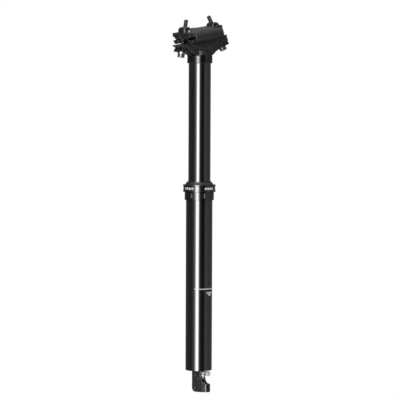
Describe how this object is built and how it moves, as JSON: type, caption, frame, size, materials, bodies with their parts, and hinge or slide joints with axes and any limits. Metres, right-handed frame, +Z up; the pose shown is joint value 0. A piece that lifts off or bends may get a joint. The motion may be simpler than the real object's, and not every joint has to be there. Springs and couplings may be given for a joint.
{
  "type": "dropper seatpost",
  "caption": "Telescopic bicycle seatpost with sliding stanchion, tilting saddle-rail clamp, screwed wiper collar and cable-pulled foot.",
  "frame": {"origin": "on the post's axis at the lower end of the lower tube", "axes": "+Z up the post, +X to the front of the bicycle (the saddle's nose), +Y to its left"},
  "size_m": [0.0655, 0.0586, 0.4485],
  "materials": {
    "gloss_black": "gloss black anodised tube",
    "satin_black": "satin black anodised, turned",
    "forged_black": "fine-blasted black anodised forging",
    "bright_alloy": "bright polished alloy",
    "raw_alloy": "plain machined alloy",
    "chrome_steel": "hard chromed and ground",
    "zinc_steel": "bright zinc plate",
    "dark_steel": "black oxide steel, worn bright at edges",
    "brass": "drawn brass",
    "rubber": "smooth black rubber",
    "bearing_plastic": "filled bearing plastic"
  },
  "bodies": {
    "lower_assembly": {"outer_tube": "gloss_black", "collar_nut": "satin_black", "collar_o_ring": "rubber", "wiper_seal": "rubber", "upper_bushing": "bearing_plastic", "bottom_cap": "satin_black", "cap_o_ring": "rubber", "shaft": "chrome_steel", "shaft_nut": "zinc_steel", "piston": "raw_alloy", "piston_ring": "rubber", "top_out_bumper": "rubber", "bottom_out_bumper": "rubber", "actuator_body": "satin_black", "pivot_pin": "zinc_steel", "wall_screws": "dark_steel"},
    "stanchion_assembly": {"stanchion": "gloss_black", "seat_head": "forged_black", "anti_rotation_keys": "brass", "lower_bushing": "bearing_plastic", "cartridge_body": "raw_alloy", "cartridge_top_cap": "raw_alloy", "cartridge_gland": "raw_alloy", "gland_seal": "rubber"},
    "gas_piston": {"floating_piston": "raw_alloy", "floating_piston_ring": "rubber"},
    "valve": {"valve_pin": "chrome_steel", "valve_spring": "dark_steel"},
    "lever": {"release_lever": "bright_alloy"},
    "anchor": {"cable_anchor": "zinc_steel", "anchor_grub_screw": "dark_steel"},
    "clamp": {"rail_cradle": "forged_black", "rail_clamp": "forged_black"},
    "front_bolt_group": {"front_bolt": "dark_steel", "front_flat_washer": "zinc_steel", "front_pivot_washer": "dark_steel"},
    "rear_bolt_group": {"rear_bolt": "dark_steel", "rear_flat_washer": "zinc_steel", "rear_pivot_washer": "dark_steel"},
    "front_nut": {"front_barrel_nut": "dark_steel"},
    "rear_nut": {"rear_barrel_nut": "dark_steel"}
  },
  "joints": [
    {"name": "post_slide", "type": "slide", "parent": "lower_assembly", "child": "stanchion_assembly", "axis": [0, 0, 1], "range_m": [-0.125, 0]},
    {"name": "gas_piston_travel", "type": "slide", "parent": "stanchion_assembly", "child": "gas_piston", "axis": [0, 0, 1], "range_m": [0, 0.03125]},
    {"name": "clamp_tilt", "type": "hinge", "parent": "stanchion_assembly", "child": "clamp", "pos_m": [0.00155, 0, 0.40685], "axis": [0, 1, 0], "range_deg": [-10, 10]},
    {"name": "front_bolt_swing", "type": "hinge", "parent": "stanchion_assembly", "child": "front_bolt_group", "pos_m": [0.02367, 0, 0.37965], "axis": [0, 1, 0], "range_deg": [-2.5, 2.5]},
    {"name": "rear_bolt_swing", "type": "hinge", "parent": "stanchion_assembly", "child": "rear_bolt_group", "pos_m": [-0.02789, 0, 0.38782], "axis": [0, 1, 0], "range_deg": [-2.5, 2.5]},
    {"name": "front_nut_run", "type": "slide", "parent": "front_bolt_group", "child": "front_nut", "axis": [-0.1525, 0, 0.9883], "range_m": [-0.0032, 0.0032]},
    {"name": "rear_nut_run", "type": "slide", "parent": "rear_bolt_group", "child": "rear_nut", "axis": [0.4504, 0, 0.8928], "range_m": [-0.0032, 0.0032]},
    {"name": "valve_push", "type": "slide", "parent": "lower_assembly", "child": "valve", "axis": [0, 0, 1], "range_m": [0, 0.0016], "stiffness_N_per_m": 1500, "springref_m": -0.001, "deforming": ["valve_spring"]},
    {"name": "lever_pivot", "type": "hinge", "parent": "lower_assembly", "child": "lever", "pos_m": [-0.00219, 0.0026, -0.0093], "axis": [-0.766, -0.6428, 0], "range_deg": [0, 20]},
    {"name": "anchor_swivel", "type": "hinge", "parent": "lever", "child": "anchor", "pos_m": [-0.00643, 0.00766, -0.0045], "axis": [-0.766, -0.6428, 0], "range_deg": [-20, 0]}
  ],
  "couplings": [
    {"joint": "gas_piston_travel", "follows": "post_slide", "ratio": -0.25},
    {"joint": "front_bolt_swing", "follows": "clamp_tilt", "ratio": -0.2404},
    {"joint": "rear_bolt_swing", "follows": "clamp_tilt", "ratio": -0.2404},
    {"joint": "front_nut_run", "follows": "clamp_tilt", "m_per_rad": -0.017545},
    {"joint": "rear_nut_run", "follows": "clamp_tilt", "m_per_rad": 0.017545},
    {"joint": "lever_pivot", "follows": "valve_push", "rad_per_m": 218.16},
    {"joint": "anchor_swivel", "follows": "valve_push", "rad_per_m": -218.16}
  ]
}
